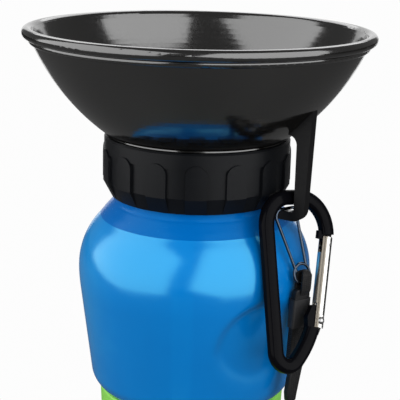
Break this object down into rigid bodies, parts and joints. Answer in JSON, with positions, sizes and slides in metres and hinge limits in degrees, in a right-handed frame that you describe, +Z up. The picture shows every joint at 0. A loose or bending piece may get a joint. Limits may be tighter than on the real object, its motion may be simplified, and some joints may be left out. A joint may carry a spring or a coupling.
{
  "type": "dog travel water bottle",
  "caption": "Squeeze bottle with a wide drinking bowl on top, a screw collar, a twist valve, a grip sleeve, and a carabiner with a strap on a hook.",
  "frame": {"origin": "centre of the bottle's foot plane, on the axis of bottle and bowl", "axes": "+Z up along the bottle's axis, -Y toward the viewer of the front, +X to the front viewer's right; the hook and carabiner are on the +X -Y side"},
  "size_m": [0.1338, 0.1338, 0.1946],
  "materials": {
    "blue_plastic": "gloss, slightly translucent",
    "green_sleeve": "satin",
    "black_bowl": "gloss",
    "pale_rubber": "satin",
    "black_collar": "satin",
    "black_knob": "satin",
    "red_rubber": "satin",
    "white_plastic": "satin",
    "steel": "satin",
    "clear_tube": "gloss, translucent",
    "black_metal": "gloss",
    "silver_metal": "satin",
    "bright_wire": "bright",
    "black_web": "woven"
  },
  "bodies": {
    "bottle": {"squeeze_bottle": "blue_plastic", "grip_sleeve": "green_sleeve"},
    "head": {"drinking_bowl": "black_bowl", "neck_gasket": "pale_rubber", "manifold": "white_plastic", "manifold_seal": "red_rubber", "manifold_screws": "steel", "dip_tube": "clear_tube", "intake_strainer": "black_collar"},
    "collar": {"screw_collar": "black_collar"},
    "valve": {"valve_knob": "black_knob", "stem_o_ring": "red_rubber", "valve_shutter": "white_plastic", "stem_screw": "steel"},
    "carabiner": {"carabiner_frame": "black_metal", "gate_rivet": "steel"},
    "gate": {"carabiner_gate": "silver_metal", "gate_latch_pin": "steel", "gate_spring": "steel", "gate_plunger": "steel"},
    "bail": {"wire_bail": "bright_wire"},
    "strap": {"strap_loop": "black_web", "strap_keeper": "black_web"}
  },
  "joints": [
    {"name": "head_lift", "type": "slide", "parent": "bottle", "child": "head", "axis": [0, 0, 1], "range_m": [0, 0.005]},
    {"name": "collar_turn", "type": "hinge", "parent": "head", "child": "collar", "pos_m": [0, 0, 0.142], "axis": [0, 0, 1], "range_deg": [0, 451]},
    {"name": "valve_turn", "type": "hinge", "parent": "head", "child": "valve", "pos_m": [0, 0, 0.1563], "axis": [0, 0, 1], "range_deg": [0, 90]},
    {"name": "carabiner_swing", "type": "hinge", "parent": "head", "child": "carabiner", "pos_m": [0.03391, -0.02287, 0.135], "axis": [-0.788, -0.6157, 0], "range_deg": [0, 30]},
    {"name": "gate_open", "type": "hinge", "parent": "carabiner", "child": "gate", "pos_m": [0.04645, -0.03167, 0.0899], "axis": [0.5855, -0.7494, 0.309], "range_deg": [0, 6], "stiffness_Nm_per_rad": 0.02, "springref_deg": -11.46},
    {"name": "bail_swing", "type": "hinge", "parent": "head", "child": "bail", "pos_m": [0.03391, -0.02287, 0.135], "axis": [-0.788, -0.6157, 0], "range_deg": [0, 9.5]},
    {"name": "strap_swing", "type": "hinge", "parent": "bail", "child": "strap", "pos_m": [0.04093, -0.0278, 0.10304], "axis": [0.788, 0.6157, 0], "range_deg": [0, 9.5]}
  ],
  "couplings": [
    {"joint": "collar_turn", "follows": "head_lift", "rad_per_m": 1570.8},
    {"joint": "bail_swing", "follows": "carabiner_swing", "ratio": 0.3},
    {"joint": "strap_swing", "follows": "carabiner_swing", "ratio": 0.3}
  ]
}
